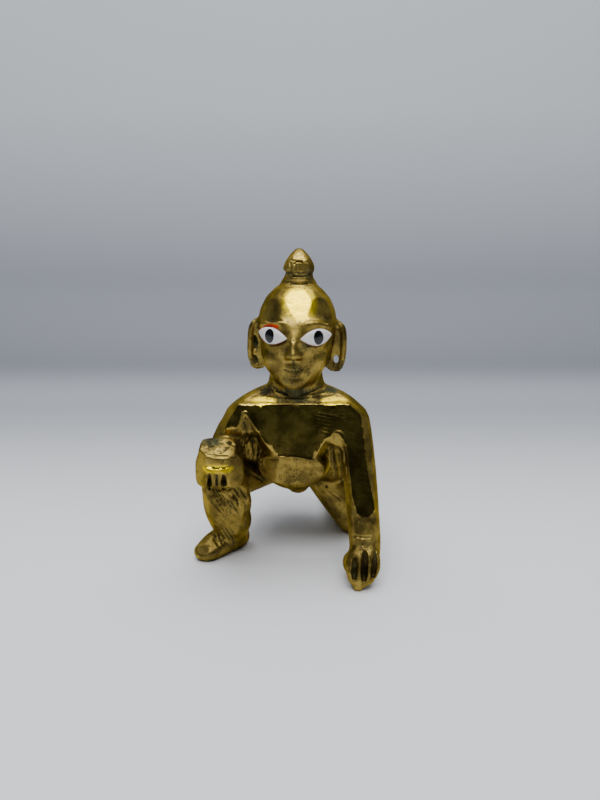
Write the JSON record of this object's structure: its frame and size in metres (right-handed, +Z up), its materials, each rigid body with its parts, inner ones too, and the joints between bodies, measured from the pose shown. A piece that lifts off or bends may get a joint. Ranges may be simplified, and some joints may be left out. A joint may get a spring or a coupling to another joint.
{
  "type": "crawling child deity idol",
  "caption": "Small solid brass idol of a crawling child deity, leaning on one hand, with the other fist on its raised knee, a topknot and inlaid almond eyes.",
  "frame": {"origin": "middle of the footprint, on the plane that the figure stands on", "axes": "+Z up, the longest extent; the figure faces -Y; its own left side is at +X"},
  "size_m": [0.0448, 0.0592, 0.0748],
  "materials": {
    "brass": "hand-filed and polished cast brass, dull in the crevices",
    "eye_shell": "glossy white enamelled eye plate with a black pupil"
  },
  "bodies": {
    "root": {"idol": "brass", "right_eye": "eye_shell", "left_eye": "eye_shell"}
  },
  "joints": []
}
